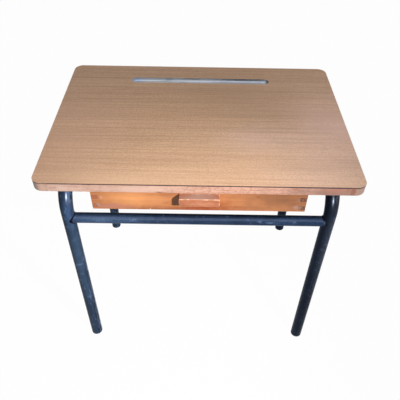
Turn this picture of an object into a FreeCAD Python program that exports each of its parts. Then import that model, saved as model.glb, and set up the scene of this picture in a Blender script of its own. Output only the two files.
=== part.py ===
"""School desk: a laminate-faced top on a bent tube frame, with one wooden drawer.

Lengths are millimetres. X runs to the pupil's right, Y away from the pupil and Z up. The
origin is on the floor, under the middle of the top, and the drawer opens towards -Y.
"""
import FreeCAD, Part
import os

Vector = FreeCAD.Vector
UP = Vector(0, 0, 1)
FORWARD = Vector(0, -1, 0)
SIDES = {"left": -1, "right": 1}
ENDS = {"front": -1, "rear": 1}

# Whole desk
TOP_WIDTH = 700.0
TOP_DEPTH = 500.0
DESK_HEIGHT = 620.0

# Top panel
CORE_THICKNESS = 21.0
BACKING_THICKNESS = 1.0
LAMINATE_THICKNESS = 1.0
LIPPING_WIDTH = 35.0
TOP_CORNER_RADIUS = 22.0
LIPPING_ARRIS = 2.0

# Pen groove, which the tray lines
GROOVE_LENGTH = 368.0
GROOVE_WIDTH = 25.0
GROOVE_DEPTH = 8.0
GROOVE_FROM_BACK = 76.0
TRAY_WALL = 1.0
TRAY_BOTTOM_RADIUS = 6.0
TRAY_RIM_DROP = 0.4

# Tube frame
LEG_INSET_SIDE = 51.0
LEG_INSET_END = 34.0
TUBE_DIAMETER = 30.0
TUBE_WALL = 1.5
BEND_RADIUS = 80.0
CROSSBAR_SHOULDER = 2.5
CROSSBAR_WALL = 1.5
CROSSBAR_BELOW_TOP = 112.0
WELD_BEAD = 2.0

# Plugs that close the feet of the tubes
GLIDE_FLANGE = 2.5
GLIDE_RIM_CHAMFER = 1.0
GLIDE_STEM_LENGTH = 22.0

# Lugs welded to the top rails, and their screws
LUG_THICKNESS = 3.0
LUG_WIDTH = 30.0
LUG_REACH = 38.0
LUG_CORNER_RADIUS = 8.0
LUG_TUBE_OVERLAP = 6.0
LUG_FROM_BEND = 36.0
LUG_HOLE_FROM_END = 12.0
LUG_HOLE_CLEARANCE = 0.25
LUG_SCREW_SHANK = 4.5
LUG_SCREW_HEAD = 8.5
LUG_SCREW_HEAD_HEIGHT = 2.8
LUG_SCREW_BITE = 14.0

# Drawer
DRAWER_SETBACK = 20.0
DRAWER_FROM_BACK = 110.0
DRAWER_TOP_GAP = 1.5
FRONT_THICKNESS = 16.0
SIDE_THICKNESS = 16.0
BACK_THICKNESS = 12.0
FINGER_COUNT = 5
FINGER_HEIGHT = 12.5
STRIP_BELOW_FINGERS = 4.5
BOTTOM_THICKNESS = 4.0
BOTTOM_RISE = 6.5
BOTTOM_GROOVE_DEPTH = 6.0
BOTTOM_EDGE_PLAY = 0.5

# Drawer pull and its screws
PULL_WIDTH = 88.0
PULL_HEIGHT = 22.0
PULL_PROJECTION = 19.0
PULL_BELOW_DRAWER_TOP = 17.0
PULL_ARRIS_RADIUS = 2.2
PULL_SCREW_SPACING = 50.0
PULL_SCREW_SHANK = 4.0
PULL_SCREW_HEAD = 8.0
PULL_SCREW_BITE = 13.0

# Nails through the drawer bottom into the back board
NAIL_COUNT = 3
NAIL_EDGE_DISTANCE = 60.0
NAIL_SHANK = 2.0
NAIL_HEAD = 5.0
NAIL_HEAD_THICKNESS = 1.0
NAIL_BITE = 18.0

# Runners: a tongue on each enters a groove in the drawer, as tall as one finger and in line with it
RUNNER_WIDTH = 22.0
RUNNER_LUG_GAP = 3.0
RUNNER_SIDE_GAP = 1.0
RUNNER_GROOVE_DEPTH = 7.0
FINGERS_BELOW_GROOVE_COUNT = 3
RUNNER_GROOVE_STOP = 10.0
RUNNER_STOP_GAP = 0.5
TONGUE_TOP_PLAY = 0.3
TONGUE_BOTTOM_PLAY = 0.7
TONGUE_END_PLAY = 1.0
RUNNER_CHAMFER = 3.0
RUNNER_SCREW_COUNT = 3
RUNNER_SCREW_FROM_END = 40.0
RUNNER_SCREW_SHANK = 4.5
RUNNER_SCREW_HEAD = 9.0
RUNNER_SCREW_BITE = 14.0

# Screw slots, and how far every cutting tool runs past what it cuts
SCREW_SLOT_WIDTH = 1.1
SCREW_SLOT_DEPTH = 1.0
CUT_OVERRUN = 5.0

# Levels worked out from the sizes above
UNDERSIDE = DESK_HEIGHT - LAMINATE_THICKNESS - CORE_THICKNESS - BACKING_THICKNESS
LAMINATE_UNDERSIDE = DESK_HEIGHT - LAMINATE_THICKNESS
RAIL_LEVEL = UNDERSIDE - TUBE_DIAMETER / 2
CROSSBAR_DIAMETER = TUBE_DIAMETER - 2 * CROSSBAR_SHOULDER
CROSSBAR_LEVEL = UNDERSIDE - CROSSBAR_BELOW_TOP
TRAY_UNDERSIDE = DESK_HEIGHT - GROOVE_DEPTH - TRAY_WALL
DRAWER_TOP = UNDERSIDE - DRAWER_TOP_GAP
FIRST_FINGER = DRAWER_TOP - FINGER_COUNT * FINGER_HEIGHT
DRAWER_FLOOR = FIRST_FINGER - STRIP_BELOW_FINGERS
BOTTOM_PANEL_UNDERSIDE = DRAWER_FLOOR + BOTTOM_RISE
BOTTOM_PANEL_TOP = BOTTOM_PANEL_UNDERSIDE + BOTTOM_THICKNESS
RUNNER_GROOVE_LOW = FIRST_FINGER + FINGERS_BELOW_GROOVE_COUNT * FINGER_HEIGHT
RUNNER_GROOVE_HIGH = RUNNER_GROOVE_LOW + FINGER_HEIGHT
TONGUE_TOP = RUNNER_GROOVE_HIGH - TONGUE_TOP_PLAY
RUNNER_UNDERSIDE = RUNNER_GROOVE_LOW + TONGUE_BOTTOM_PLAY

# Distances from the middle plane of the desk
LEG_X = TOP_WIDTH / 2 - LEG_INSET_SIDE
LUG_END_X = LEG_X - LUG_REACH
RUNNER_OUTER_X = LUG_END_X - RUNNER_LUG_GAP
RUNNER_INNER_X = RUNNER_OUTER_X - RUNNER_WIDTH
DRAWER_OUTER_X = RUNNER_INNER_X - RUNNER_SIDE_GAP
DRAWER_INNER_X = DRAWER_OUTER_X - SIDE_THICKNESS
RUNNER_GROOVE_X = DRAWER_OUTER_X - RUNNER_GROOVE_DEPTH
TONGUE_X = RUNNER_GROOVE_X + TONGUE_END_PLAY
BOTTOM_GROOVE_X = DRAWER_INNER_X + BOTTOM_GROOVE_DEPTH

# Places from front to back
TOP_FRONT_Y = -TOP_DEPTH / 2
LEG_Y = TOP_DEPTH / 2 - LEG_INSET_END
BEND_END_Y = LEG_Y - BEND_RADIUS
LUG_Y = BEND_END_Y - LUG_FROM_BEND
GROOVE_Y = TOP_DEPTH / 2 - GROOVE_FROM_BACK
DRAWER_FRONT_Y = TOP_FRONT_Y + DRAWER_SETBACK
DRAWER_INNER_FRONT_Y = DRAWER_FRONT_Y + FRONT_THICKNESS
DRAWER_BACK_Y = TOP_DEPTH / 2 - DRAWER_FROM_BACK
DRAWER_INNER_BACK_Y = DRAWER_BACK_Y - BACK_THICKNESS
BOTTOM_GROOVE_Y = DRAWER_INNER_FRONT_Y - BOTTOM_GROOVE_DEPTH
RUNNER_GROOVE_Y = DRAWER_INNER_FRONT_Y + RUNNER_GROOVE_STOP
RUNNER_FRONT_Y = RUNNER_GROOVE_Y + RUNNER_STOP_GAP


def block(x_range, y_range, z_range):
    """Return a box between the given limits, each a pair in either order."""
    low = Vector(min(x_range), min(y_range), min(z_range))
    high = Vector(max(x_range), max(y_range), max(z_range))
    size = high - low
    return Part.makeBox(size.x, size.y, size.z, low)


def cut_all(shape, tools):
    """Return the shape with every tool taken out of it."""
    for tool in tools:
        shape = shape.cut(tool)
    return shape


def mirrored(shape):
    """Return the shape's mirror image in the middle plane of the desk."""
    return shape.mirror(Vector(0, 0, 0), Vector(1, 0, 0))


def on_side(shape, side):
    """Return a right-hand shape for the side asked for."""
    return shape if side > 0 else mirrored(shape)


def turned(points):
    """Return the solid that a closed outline of radius and height turns about the Z axis."""
    outline = [Vector(radius, 0, height) for radius, height in points]
    face = Part.Face(Part.makePolygon(outline + outline[:1]))
    return face.revolve(Vector(0, 0, 0), UP, 360)


def placed(shape, position, direction=UP):
    """Return a copy of a shape made along +Z, moved to a position and turned to a direction."""
    copy = shape.copy()
    copy.Placement = FreeCAD.Placement(position, FreeCAD.Rotation(UP, direction))
    return copy


def vertical_edges(shape):
    """Return the edges of a box-like shape that run along Z."""
    return [edge for edge in shape.Edges
            if edge.BoundBox.XLength + edge.BoundBox.YLength < edge.BoundBox.ZLength]


def edges_at_level(shape, level):
    """Return the edges of a shape that lie in one horizontal plane."""
    tolerance = shape.BoundBox.ZLength / 1000
    return [edge for edge in shape.Edges
            if abs(edge.BoundBox.ZMin - level) < tolerance and abs(edge.BoundBox.ZMax - level) < tolerance]


def top_outline_slab(low, high):
    """Return a slab with the outline of the top and its rounded corners."""
    slab = block((-TOP_WIDTH / 2, TOP_WIDTH / 2), (-TOP_DEPTH / 2, TOP_DEPTH / 2), (low, high))
    return slab.makeFillet(TOP_CORNER_RADIUS, vertical_edges(slab))


def core_slab(low, high):
    """Return a slab with the outline of the panel inside the lipping."""
    half_width = TOP_WIDTH / 2 - LIPPING_WIDTH
    half_depth = TOP_DEPTH / 2 - LIPPING_WIDTH
    return block((-half_width, half_width), (-half_depth, half_depth), (low, high))


def groove_bar(inset, low, high):
    """Return a bar along the pen groove, with half-round ends and a rounded underside.

    The bar lies inside the groove's outline by the inset given, and so do its roundings.
    """
    end_radius = GROOVE_WIDTH / 2 - inset
    straight = (GROOVE_LENGTH - GROOVE_WIDTH) / 2
    middle = block((-straight, straight), (GROOVE_Y - end_radius, GROOVE_Y + end_radius), (low, high))
    rounds = [Part.makeCylinder(end_radius, high - low, Vector(side * straight, GROOVE_Y, low))
              for side in SIDES.values()]
    bar = middle.multiFuse(rounds).removeSplitter()
    return bar.makeFillet(TRAY_BOTTOM_RADIUS - inset, edges_at_level(bar, low))


def groove_pocket():
    """Return the space that the tray fills in the top, open through the laminate."""
    return groove_bar(0, TRAY_UNDERSIDE, DESK_HEIGHT + CUT_OVERRUN)


def pen_tray():
    """Return the thin trough that lines the pen groove."""
    rim = DESK_HEIGHT - TRAY_RIM_DROP
    outside = groove_bar(0, TRAY_UNDERSIDE, rim)
    inside = groove_bar(TRAY_WALL, TRAY_UNDERSIDE + TRAY_WALL, rim + CUT_OVERRUN)
    return outside.cut(inside)


def lipping():
    """Return the four solid-wood strips round the core, by name.

    The side strips run the full depth and carry the rounded corners. The front and back
    strips are butted between them.
    """
    rim = top_outline_slab(UNDERSIDE, LAMINATE_UNDERSIDE)
    rim = rim.makeChamfer(LIPPING_ARRIS, edges_at_level(rim, UNDERSIDE))
    rim = rim.cut(core_slab(UNDERSIDE - CUT_OVERRUN, LAMINATE_UNDERSIDE + CUT_OVERRUN))
    joint_x = TOP_WIDTH / 2 - LIPPING_WIDTH
    heights = (UNDERSIDE, LAMINATE_UNDERSIDE)
    full_depth = (-TOP_DEPTH / 2, TOP_DEPTH / 2)
    return {
        "lipping_left": rim.common(block((-TOP_WIDTH / 2, -joint_x), full_depth, heights)),
        "lipping_right": rim.common(block((joint_x, TOP_WIDTH / 2), full_depth, heights)),
        "lipping_front": rim.common(block((-joint_x, joint_x), (-TOP_DEPTH / 2, 0), heights)),
        "lipping_back": rim.common(block((-joint_x, joint_x), (0, TOP_DEPTH / 2), heights)),
    }


def top_pieces():
    """Return the pieces of the top, by name."""
    pocket = groove_pocket()
    screw_holes = lug_screw_blanks() + runner_screw_blanks()
    core = core_slab(UNDERSIDE + BACKING_THICKNESS, LAMINATE_UNDERSIDE)
    backing = core_slab(UNDERSIDE, UNDERSIDE + BACKING_THICKNESS)
    pieces = {
        "top_core": cut_all(core, [pocket] + screw_holes),
        "top_backing": cut_all(backing, screw_holes),
        "top_laminate": top_outline_slab(LAMINATE_UNDERSIDE, DESK_HEIGHT).cut(pocket),
        "pen_tray": pen_tray(),
    }
    pieces.update(lipping())
    return pieces


def frame_path(side):
    """Return the centre line of one side frame, from the front foot over to the rear foot."""
    x = side * LEG_X
    foot = GLIDE_FLANGE
    bend_start = RAIL_LEVEL - BEND_RADIUS
    diagonal = BEND_RADIUS / 2 ** 0.5
    edges = [Part.LineSegment(Vector(x, -LEG_Y, foot), Vector(x, -LEG_Y, bend_start))]
    edges.append(Part.Arc(Vector(x, -LEG_Y, bend_start),
                          Vector(x, -BEND_END_Y - diagonal, bend_start + diagonal),
                          Vector(x, -BEND_END_Y, RAIL_LEVEL)))
    edges.append(Part.LineSegment(Vector(x, -BEND_END_Y, RAIL_LEVEL), Vector(x, BEND_END_Y, RAIL_LEVEL)))
    edges.append(Part.Arc(Vector(x, BEND_END_Y, RAIL_LEVEL),
                          Vector(x, BEND_END_Y + diagonal, bend_start + diagonal),
                          Vector(x, LEG_Y, bend_start)))
    edges.append(Part.LineSegment(Vector(x, LEG_Y, bend_start), Vector(x, LEG_Y, foot)))
    return Part.Wire([edge.toShape() for edge in edges])


def bent_bar(side, radius):
    """Return a solid round bar bent along the centre line of a side frame."""
    start = Vector(side * LEG_X, -LEG_Y, GLIDE_FLANGE)
    section = Part.Wire(Part.makeCircle(radius, start, UP))
    return frame_path(side).makePipeShell([section], True, False)


def crossbar(end):
    """Return one crossbar as a tube, coped to the two side frames."""
    start = Vector(-LEG_X, end * LEG_Y, CROSSBAR_LEVEL)
    outer = Part.makeCylinder(CROSSBAR_DIAMETER / 2, 2 * LEG_X, start, Vector(1, 0, 0))
    inner = Part.makeCylinder(CROSSBAR_DIAMETER / 2 - CROSSBAR_WALL, 2 * LEG_X, start, Vector(1, 0, 0))
    legs = [bent_bar(side, TUBE_DIAMETER / 2) for side in SIDES.values()]
    return cut_all(outer.cut(inner), legs)


def weld_bead(side, end):
    """Return the bead round one end of a crossbar, where it meets a leg."""
    start = Vector(0, end * LEG_Y, CROSSBAR_LEVEL)
    along = Vector(side, 0, 0)
    collar = Part.makeCylinder(CROSSBAR_DIAMETER / 2 + WELD_BEAD, LEG_X, start, along)
    bar = Part.makeCylinder(CROSSBAR_DIAMETER / 2, LEG_X, start, along)
    ring = collar.common(bent_bar(side, TUBE_DIAMETER / 2 + WELD_BEAD))
    return cut_all(ring, [bar, bent_bar(side, TUBE_DIAMETER / 2)])


def foot_glide(side, end):
    """Return the plug in one tube end: a flange to stand on and a stem in the bore."""
    rim = TUBE_DIAMETER / 2
    bore = rim - TUBE_WALL
    stem_top = GLIDE_FLANGE + GLIDE_STEM_LENGTH
    plug = turned([(0, 0), (rim - GLIDE_RIM_CHAMFER, 0), (rim, GLIDE_RIM_CHAMFER), (rim, GLIDE_FLANGE),
                   (bore, GLIDE_FLANGE), (bore, stem_top), (0, stem_top)])
    return placed(plug, Vector(side * LEG_X, end * LEG_Y, 0))


def lug_screw_places():
    """Return the points where the lug screws' heads seat, on the underside of the lugs."""
    x = LUG_END_X + LUG_HOLE_FROM_END
    return [Vector(side * x, end * LUG_Y, UNDERSIDE - LUG_THICKNESS)
            for side in SIDES.values() for end in ENDS.values()]


def lug_screw_blanks():
    """Return the unslotted lug screws, where they sit."""
    head = LUG_SCREW_HEAD / 2
    shank = LUG_SCREW_SHANK / 2
    length = LUG_THICKNESS + LUG_SCREW_BITE
    crown = head - LUG_SCREW_HEAD_HEIGHT / 2
    screw = turned([(0, -LUG_SCREW_HEAD_HEIGHT), (crown, -LUG_SCREW_HEAD_HEIGHT),
                    (head, -LUG_SCREW_HEAD_HEIGHT / 2), (head, 0), (shank, 0),
                    (shank, length), (0, length)])
    return [placed(screw, point) for point in lug_screw_places()]


def lug_screws():
    """Return the round-headed wood screws of the lugs, slotted."""
    screws = []
    for point, screw in zip(lug_screw_places(), lug_screw_blanks()):
        under = point.z - LUG_SCREW_HEAD_HEIGHT
        slot = block((point.x - LUG_SCREW_HEAD, point.x + LUG_SCREW_HEAD),
                     (point.y - SCREW_SLOT_WIDTH / 2, point.y + SCREW_SLOT_WIDTH / 2),
                     (under - CUT_OVERRUN, under + SCREW_SLOT_DEPTH))
        screws.append(screw.cut(slot))
    return Part.makeCompound(screws)


def fixing_lug(side, end):
    """Return a steel plate under the top, rounded at its free end and coped to the top rail."""
    tube_end_x = LEG_X - LUG_TUBE_OVERLAP
    plate = block((LUG_END_X, tube_end_x), (end * LUG_Y - LUG_WIDTH / 2, end * LUG_Y + LUG_WIDTH / 2),
                  (UNDERSIDE - LUG_THICKNESS, UNDERSIDE))
    free_corners = [edge for edge in vertical_edges(plate)
                    if edge.BoundBox.XMax < tube_end_x - LUG_TUBE_OVERLAP]
    plate = plate.makeFillet(LUG_CORNER_RADIUS, free_corners)
    hole = Part.makeCylinder(LUG_SCREW_SHANK / 2 + LUG_HOLE_CLEARANCE, LUG_THICKNESS,
                             Vector(LUG_END_X + LUG_HOLE_FROM_END, end * LUG_Y, UNDERSIDE - LUG_THICKNESS))
    plate = plate.cut(hole).cut(bent_bar(1, TUBE_DIAMETER / 2))
    return on_side(plate, side)


def frame_pieces():
    """Return the pieces of the tube frame, by name."""
    pieces = {"lug_screws": lug_screws()}
    for side_name, side in SIDES.items():
        outer = bent_bar(side, TUBE_DIAMETER / 2)
        pieces["side_frame_" + side_name] = outer.cut(bent_bar(side, TUBE_DIAMETER / 2 - TUBE_WALL))
        for end_name, end in ENDS.items():
            corner = end_name + "_" + side_name
            pieces["fixing_lug_" + corner] = fixing_lug(side, end)
            pieces["foot_glide_" + corner] = foot_glide(side, end)
    for end_name, end in ENDS.items():
        pieces[end_name + "_crossbar"] = crossbar(end)
    pieces["weld_beads"] = Part.makeCompound([weld_bead(side, end) for side in SIDES.values()
                                              for end in ENDS.values()])
    return pieces


def finger_levels(first):
    """Return the low and high level of every second finger of the corner joints."""
    lows = [FIRST_FINGER + index * FINGER_HEIGHT for index in range(first, FINGER_COUNT, 2)]
    return [(low, low + FINGER_HEIGHT) for low in lows]


def bottom_groove():
    """Return the groove for the drawer bottom, stopped in the front and open at the back."""
    return block((-BOTTOM_GROOVE_X, BOTTOM_GROOVE_X), (BOTTOM_GROOVE_Y, DRAWER_BACK_Y + CUT_OVERRUN),
                 (BOTTOM_PANEL_UNDERSIDE, BOTTOM_PANEL_TOP))


def runner_grooves():
    """Return the grooves for the runners in the outside of the drawer, stopped at the front."""
    groove = block((RUNNER_GROOVE_X, DRAWER_OUTER_X + CUT_OVERRUN),
                   (RUNNER_GROOVE_Y, DRAWER_BACK_Y + CUT_OVERRUN),
                   (RUNNER_GROOVE_LOW, RUNNER_GROOVE_HIGH))
    return [groove, mirrored(groove)]


def drawer_side(side):
    """Return one side board, with the lowest finger and every second one above it.

    Under that finger the front board's strip is in front of it.
    """
    board = block((DRAWER_INNER_X, DRAWER_OUTER_X), (DRAWER_FRONT_Y, DRAWER_BACK_Y),
                  (DRAWER_FLOOR, DRAWER_TOP))
    across = (DRAWER_INNER_X - CUT_OVERRUN, DRAWER_OUTER_X + CUT_OVERRUN)
    front_end = (DRAWER_FRONT_Y - CUT_OVERRUN, DRAWER_INNER_FRONT_Y)
    back_end = (DRAWER_INNER_BACK_Y, DRAWER_BACK_Y + CUT_OVERRUN)
    sockets = [block(across, front_end, (DRAWER_FLOOR - CUT_OVERRUN, FIRST_FINGER))]
    for levels in finger_levels(1):
        sockets.append(block(across, front_end, levels))
        sockets.append(block(across, back_end, levels))
    board = cut_all(board, sockets + [bottom_groove()] + runner_grooves())
    return on_side(board, side)


def finger_sockets(y_range):
    """Return the sockets in a front or back board that the side boards' fingers fill."""
    sockets = []
    for levels in finger_levels(0):
        socket = block((DRAWER_INNER_X, DRAWER_OUTER_X + CUT_OVERRUN), y_range, levels)
        sockets += [socket, mirrored(socket)]
    return sockets


def drawer_front():
    """Return the front board, finger-jointed to the sides and drilled for the pull."""
    board = block((-DRAWER_OUTER_X, DRAWER_OUTER_X), (DRAWER_FRONT_Y, DRAWER_INNER_FRONT_Y),
                  (DRAWER_FLOOR, DRAWER_TOP))
    through = (DRAWER_FRONT_Y - CUT_OVERRUN, DRAWER_INNER_FRONT_Y + CUT_OVERRUN)
    return cut_all(board, finger_sockets(through) + [bottom_groove()] + pull_screw_blanks())


def drawer_back():
    """Return the back board, which stands on the drawer bottom."""
    board = block((-DRAWER_OUTER_X, DRAWER_OUTER_X), (DRAWER_INNER_BACK_Y, DRAWER_BACK_Y),
                  (BOTTOM_PANEL_TOP, DRAWER_TOP))
    through = (DRAWER_INNER_BACK_Y - CUT_OVERRUN, DRAWER_BACK_Y + CUT_OVERRUN)
    return cut_all(board, finger_sockets(through) + runner_grooves() + nails())


def drawer_bottom():
    """Return the bottom panel, in its grooves and nailed under the back board."""
    half_width = BOTTOM_GROOVE_X - BOTTOM_EDGE_PLAY
    panel = block((-half_width, half_width), (BOTTOM_GROOVE_Y + BOTTOM_EDGE_PLAY, DRAWER_BACK_Y),
                  (BOTTOM_PANEL_UNDERSIDE, BOTTOM_PANEL_TOP))
    return cut_all(panel, nails())


def nails():
    """Return the nails that hold the bottom panel to the back board."""
    head = NAIL_HEAD / 2
    shank = NAIL_SHANK / 2
    length = BOTTOM_THICKNESS + NAIL_BITE
    nail = turned([(0, -NAIL_HEAD_THICKNESS), (head, -NAIL_HEAD_THICKNESS), (head, 0), (shank, 0),
                   (shank, length), (0, length)])
    first = -DRAWER_INNER_X + NAIL_EDGE_DISTANCE
    step = -2 * first / (NAIL_COUNT - 1)
    y = DRAWER_BACK_Y - BACK_THICKNESS / 2
    return [placed(nail, Vector(first + index * step, y, BOTTOM_PANEL_UNDERSIDE))
            for index in range(NAIL_COUNT)]


def pull_level():
    """Return the height of the middle of the pull."""
    return DRAWER_TOP - PULL_BELOW_DRAWER_TOP - PULL_HEIGHT / 2


def drawer_pull():
    """Return the wooden block on the drawer front, with its free arrises rounded."""
    front = DRAWER_FRONT_Y - PULL_PROJECTION
    pull = block((-PULL_WIDTH / 2, PULL_WIDTH / 2), (front, DRAWER_FRONT_Y),
                 (pull_level() - PULL_HEIGHT / 2, pull_level() + PULL_HEIGHT / 2))
    seat = DRAWER_FRONT_Y - PULL_ARRIS_RADIUS
    free = [edge for edge in pull.Edges if edge.BoundBox.YMin < seat]
    return cut_all(pull.makeFillet(PULL_ARRIS_RADIUS, free), pull_screw_blanks())


def countersunk_screw(shank_diameter, head_diameter, length):
    """Return an unslotted countersunk wood screw with its head's face at the origin."""
    head = head_diameter / 2
    shank = shank_diameter / 2
    return turned([(0, 0), (head, 0), (shank, head - shank), (shank, length), (0, length)])


def pull_screw_blanks():
    """Return the unslotted screws of the pull, driven from inside the drawer."""
    screw = countersunk_screw(PULL_SCREW_SHANK, PULL_SCREW_HEAD, FRONT_THICKNESS + PULL_SCREW_BITE)
    return [placed(screw, Vector(side * PULL_SCREW_SPACING / 2, DRAWER_INNER_FRONT_Y, pull_level()), FORWARD)
            for side in SIDES.values()]


def pull_screws():
    """Return the slotted screws of the pull."""
    slot = block((-PULL_WIDTH / 2, PULL_WIDTH / 2),
                 (DRAWER_INNER_FRONT_Y - SCREW_SLOT_DEPTH, DRAWER_INNER_FRONT_Y + CUT_OVERRUN),
                 (pull_level() - SCREW_SLOT_WIDTH / 2, pull_level() + SCREW_SLOT_WIDTH / 2))
    return Part.makeCompound([screw.cut(slot) for screw in pull_screw_blanks()])


def drawer_pieces():
    """Return the pieces of the drawer, by name."""
    return {
        "drawer_front": drawer_front(),
        "drawer_back": drawer_back(),
        "drawer_side_left": drawer_side(-1),
        "drawer_side_right": drawer_side(1),
        "drawer_bottom": drawer_bottom(),
        "drawer_bottom_nails": Part.makeCompound(nails()),
        "drawer_pull": drawer_pull(),
        "pull_screws": pull_screws(),
    }


def runner_screw_places():
    """Return the points where the runner screws' heads end, flush with the runners."""
    x = RUNNER_OUTER_X - RUNNER_WIDTH / 2
    first = RUNNER_FRONT_Y + RUNNER_SCREW_FROM_END
    last = DRAWER_BACK_Y - RUNNER_SCREW_FROM_END
    step = (last - first) / (RUNNER_SCREW_COUNT - 1)
    return [Vector(side * x, first + index * step, RUNNER_UNDERSIDE)
            for side in SIDES.values() for index in range(RUNNER_SCREW_COUNT)]


def runner_screw_blanks():
    """Return the unslotted screws of the runners, where they sit."""
    length = UNDERSIDE - RUNNER_UNDERSIDE + RUNNER_SCREW_BITE
    screw = countersunk_screw(RUNNER_SCREW_SHANK, RUNNER_SCREW_HEAD, length)
    return [placed(screw, point) for point in runner_screw_places()]


def runner_screws():
    """Return the slotted screws of the runners."""
    screws = []
    for point, screw in zip(runner_screw_places(), runner_screw_blanks()):
        slot = block((point.x - RUNNER_SCREW_HEAD, point.x + RUNNER_SCREW_HEAD),
                     (point.y - SCREW_SLOT_WIDTH / 2, point.y + SCREW_SLOT_WIDTH / 2),
                     (point.z - CUT_OVERRUN, point.z + SCREW_SLOT_DEPTH))
        screws.append(screw.cut(slot))
    return Part.makeCompound(screws)


def runner(side):
    """Return one runner: a batten under the top with a tongue along its lower inner edge."""
    outline = [Vector(RUNNER_OUTER_X, 0, RUNNER_UNDERSIDE), Vector(RUNNER_OUTER_X, 0, UNDERSIDE),
               Vector(RUNNER_INNER_X, 0, UNDERSIDE), Vector(RUNNER_INNER_X, 0, TONGUE_TOP),
               Vector(TONGUE_X, 0, TONGUE_TOP), Vector(TONGUE_X, 0, RUNNER_UNDERSIDE)]
    section = Part.Face(Part.makePolygon(outline + outline[:1]))
    section.translate(Vector(0, RUNNER_FRONT_Y, 0))
    batten = section.extrude(Vector(0, DRAWER_BACK_Y - RUNNER_FRONT_Y, 0))
    front_arris = [edge for edge in edges_at_level(batten, RUNNER_UNDERSIDE)
                   if edge.BoundBox.YMax < RUNNER_FRONT_Y + RUNNER_CHAMFER]
    batten = batten.makeChamfer(RUNNER_CHAMFER, front_arris)
    return on_side(cut_all(batten, runner_screw_blanks()), side)


def runner_pieces():
    """Return the runners and their screws, by name."""
    pieces = {"runner_" + name: runner(side) for name, side in SIDES.items()}
    pieces["runner_screws"] = runner_screws()
    return pieces


def desk_pieces():
    """Return every piece of the desk, by name."""
    pieces = {}
    for group in (top_pieces(), frame_pieces(), drawer_pieces(), runner_pieces()):
        pieces.update(group)
    return pieces


def main():
    """Write one STEP file for each piece."""
    os.makedirs("parts", exist_ok=True)
    for name, shape in desk_pieces().items():
        shape.exportStep("parts/" + name + ".step")
        print(f"{name}: {len(shape.Solids)} solid(s), {shape.Volume:.1f} mm3, valid {shape.isValid()}")


if __name__ == "__main__":
    main()
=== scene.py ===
"""A small school desk: wood-grain top, finger-jointed drawer and bent tube frame.

Sizes are millimetres and become metres when a piece is finished. X runs to the pupil's
right, Y away from the pupil and Z up. The origin is on the floor, under the middle of the top.
"""

import logging
import math
from dataclasses import dataclass
from enum import Enum

import bmesh
import bpy
from mathutils import Matrix, Vector


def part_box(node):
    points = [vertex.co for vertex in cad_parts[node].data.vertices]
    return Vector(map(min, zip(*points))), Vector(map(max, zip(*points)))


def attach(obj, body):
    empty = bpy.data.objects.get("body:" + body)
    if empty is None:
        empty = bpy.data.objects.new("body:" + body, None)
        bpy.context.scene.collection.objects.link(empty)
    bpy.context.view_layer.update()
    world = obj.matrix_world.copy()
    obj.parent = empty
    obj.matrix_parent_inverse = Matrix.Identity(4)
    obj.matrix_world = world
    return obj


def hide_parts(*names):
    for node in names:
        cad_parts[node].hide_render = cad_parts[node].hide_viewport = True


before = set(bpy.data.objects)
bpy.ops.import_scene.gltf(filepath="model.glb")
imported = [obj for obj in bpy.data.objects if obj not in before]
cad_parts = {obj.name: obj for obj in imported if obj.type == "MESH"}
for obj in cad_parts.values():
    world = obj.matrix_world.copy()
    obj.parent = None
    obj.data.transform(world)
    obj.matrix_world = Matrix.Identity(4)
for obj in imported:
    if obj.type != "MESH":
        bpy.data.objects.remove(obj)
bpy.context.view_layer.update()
MM = 0.001
MERGE = 0.002  # points of a mesh nearer than this are one
CLOSE = 0.05  # points of an outline nearer than this are one
NEAR = 1.0  # a point this near to a level or an outline is on it
FLAT = 0.5  # degrees up to which faces of a CAD mesh are one flat face
CREASE = 38.0  # degrees from which an edge is shaded as sharp
BROKEN = 50.0  # degrees from which a kept CAD edge is softened
SQUARE = 60.0  # degrees from which an edge is rounded here
CORNER_STEPS = 14  # edges in a rounded corner
SIDES = {"left": -1, "right": 1}
ENDS = {"front": -1, "rear": 1}

log = logging.getLogger("desk")
Socket = bpy.types.NodeSocket
Shape = bmesh.types.BMesh
Face, Edge, Vert = bmesh.types.BMFace, bmesh.types.BMEdge, bmesh.types.BMVert
Triple = tuple[float, float, float]


class Grain(Enum):
    """The direction in which a board's fibres run."""

    X = 0
    Y = 1

    def size(self, run: float, across: float) -> Triple:
        """Return a pattern size, with its length along the fibres and its size across them."""
        return tuple(run if axis == self.value else across for axis in range(3))


class Body(Enum):
    """The part of the desk that a piece moves with."""

    DESK = "desk"
    DRAWER = "drawer"


def linear(hex_colour: str) -> tuple[float, float, float, float]:
    """Turn an sRGB hex colour to linear red, green and blue, and full opacity."""
    values = [int(hex_colour[i:i + 2], 16) / 255 for i in (0, 2, 4)]
    return (*(v / 12.92 if v <= 0.04045 else ((v + 0.055) / 1.055) ** 2.4 for v in values), 1.0)


def add_node(tree: bpy.types.NodeTree, kind: str, links: dict | None = None, out: str | int = 0,
             **settings: object) -> Socket:
    """Add a node with its settings and links.

    Args:
        tree: The tree that takes it.
        kind: The node's type, without the words ShaderNode.
        links: Inputs by name or place, each a value or a socket to link from.
        out: The output wanted, by name or place.
        **settings: The node's own settings.

    Returns:
        The output socket asked for.
    """
    node = tree.nodes.new("ShaderNode" + kind)
    for name, value in settings.items():
        setattr(node, name, value)
    for key, value in (links or {}).items():
        if isinstance(value, Socket):
            tree.links.new(value, node.inputs[key])
        else:
            node.inputs[key].default_value = value
    return node.outputs[out]


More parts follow.
